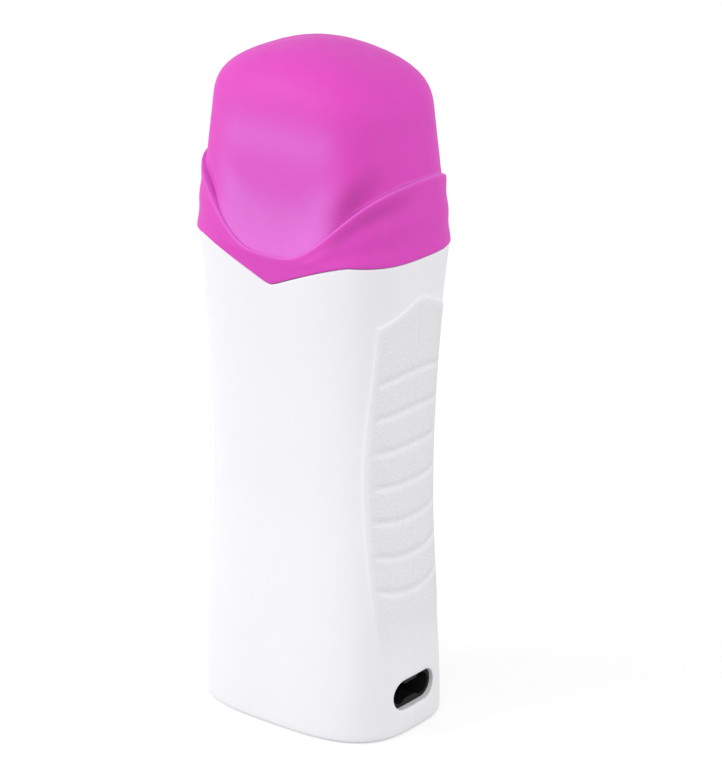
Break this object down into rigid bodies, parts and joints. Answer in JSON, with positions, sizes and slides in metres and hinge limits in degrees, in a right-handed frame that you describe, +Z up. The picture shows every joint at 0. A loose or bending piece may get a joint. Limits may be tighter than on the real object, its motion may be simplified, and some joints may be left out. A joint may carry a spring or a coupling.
{
  "type": "handheld roll-on wax warmer",
  "caption": "Handheld roll-on wax warmer: waisted white clamshell body with grip panels and a mains inlet, a heated chamber for a wax cartridge, and a domed magenta cap.",
  "frame": {"origin": "centre of the foot, on the surface that the warmer stands on", "axes": "+Z up, X across the wide faces with the mains inlet on +X, Y through the body with the pilot lamp on +Y"},
  "size_m": [0.0768, 0.0532, 0.213],
  "materials": {
    "white_shell": "satin moulded",
    "head_plastic": "satin moulded",
    "silicone": "matt",
    "drawn_aluminium": "drawn",
    "ceramic": "fired",
    "brass": "bright",
    "insulating_film": "smooth film",
    "spring_steel": "rolled",
    "screw_steel": "zinc plated",
    "fuse_case": "bright",
    "glass_fibre": "braided",
    "black_inlet": "fine eroded",
    "terminal_sleeves": "clear sleeved",
    "lamp_lens": "frosted",
    "led_red": "clear tinted",
    "board_green": "solder mask",
    "wire_brown": "extruded",
    "wire_blue": "extruded",
    "wire_white": "braided",
    "bottle_plastic": "translucent moulded",
    "wax": "set wax",
    "roller_plastic": "smooth",
    "magenta_cap": "frosted translucent"
  },
  "bodies": {
    "housing": {"front_shell": "white_shell", "rear_shell": "white_shell", "neck_collar": "white_shell", "collar_gasket": "silicone", "heater_sleeve": "drawn_aluminium", "heating_element": "ceramic", "brass_electrodes": "brass", "insulating_sheets": "insulating_film", "clamp_plate": "spring_steel", "clamp_screws": "screw_steel", "thermostat": "ceramic", "thermal_fuse": "fuse_case", "fuse_sleeve": "glass_fibre", "mains_inlet": "black_inlet", "inlet_pins": "brass", "push_on_terminals": "terminal_sleeves", "shell_screws": "screw_steel", "lamp_lens": "lamp_lens", "lamp_led": "led_red", "lamp_board": "board_green", "lamp_wires": "wire_white", "live_wire": "wire_brown", "neutral_wire": "wire_blue", "link_wire": "wire_white"},
    "cartridge": {"wax_bottle": "bottle_plastic", "wax_fill": "wax", "roller_head": "head_plastic"},
    "roller": {"wax_roller": "roller_plastic"},
    "cap": {"cap": "magenta_cap"}
  },
  "joints": [
    {"name": "cartridge_lift", "type": "slide", "parent": "housing", "child": "cartridge", "axis": [0, 0, 1], "range_m": [0, 0.11]},
    {"name": "cap_lift", "type": "slide", "parent": "cartridge", "child": "cap", "axis": [0, 0, 1], "range_m": [0, 0.075]},
    {"name": "roller_spin", "type": "hinge", "parent": "cartridge", "child": "roller", "pos_m": [0, 0, 0.1894], "axis": [1, 0, 0], "continuous": true}
  ]
}
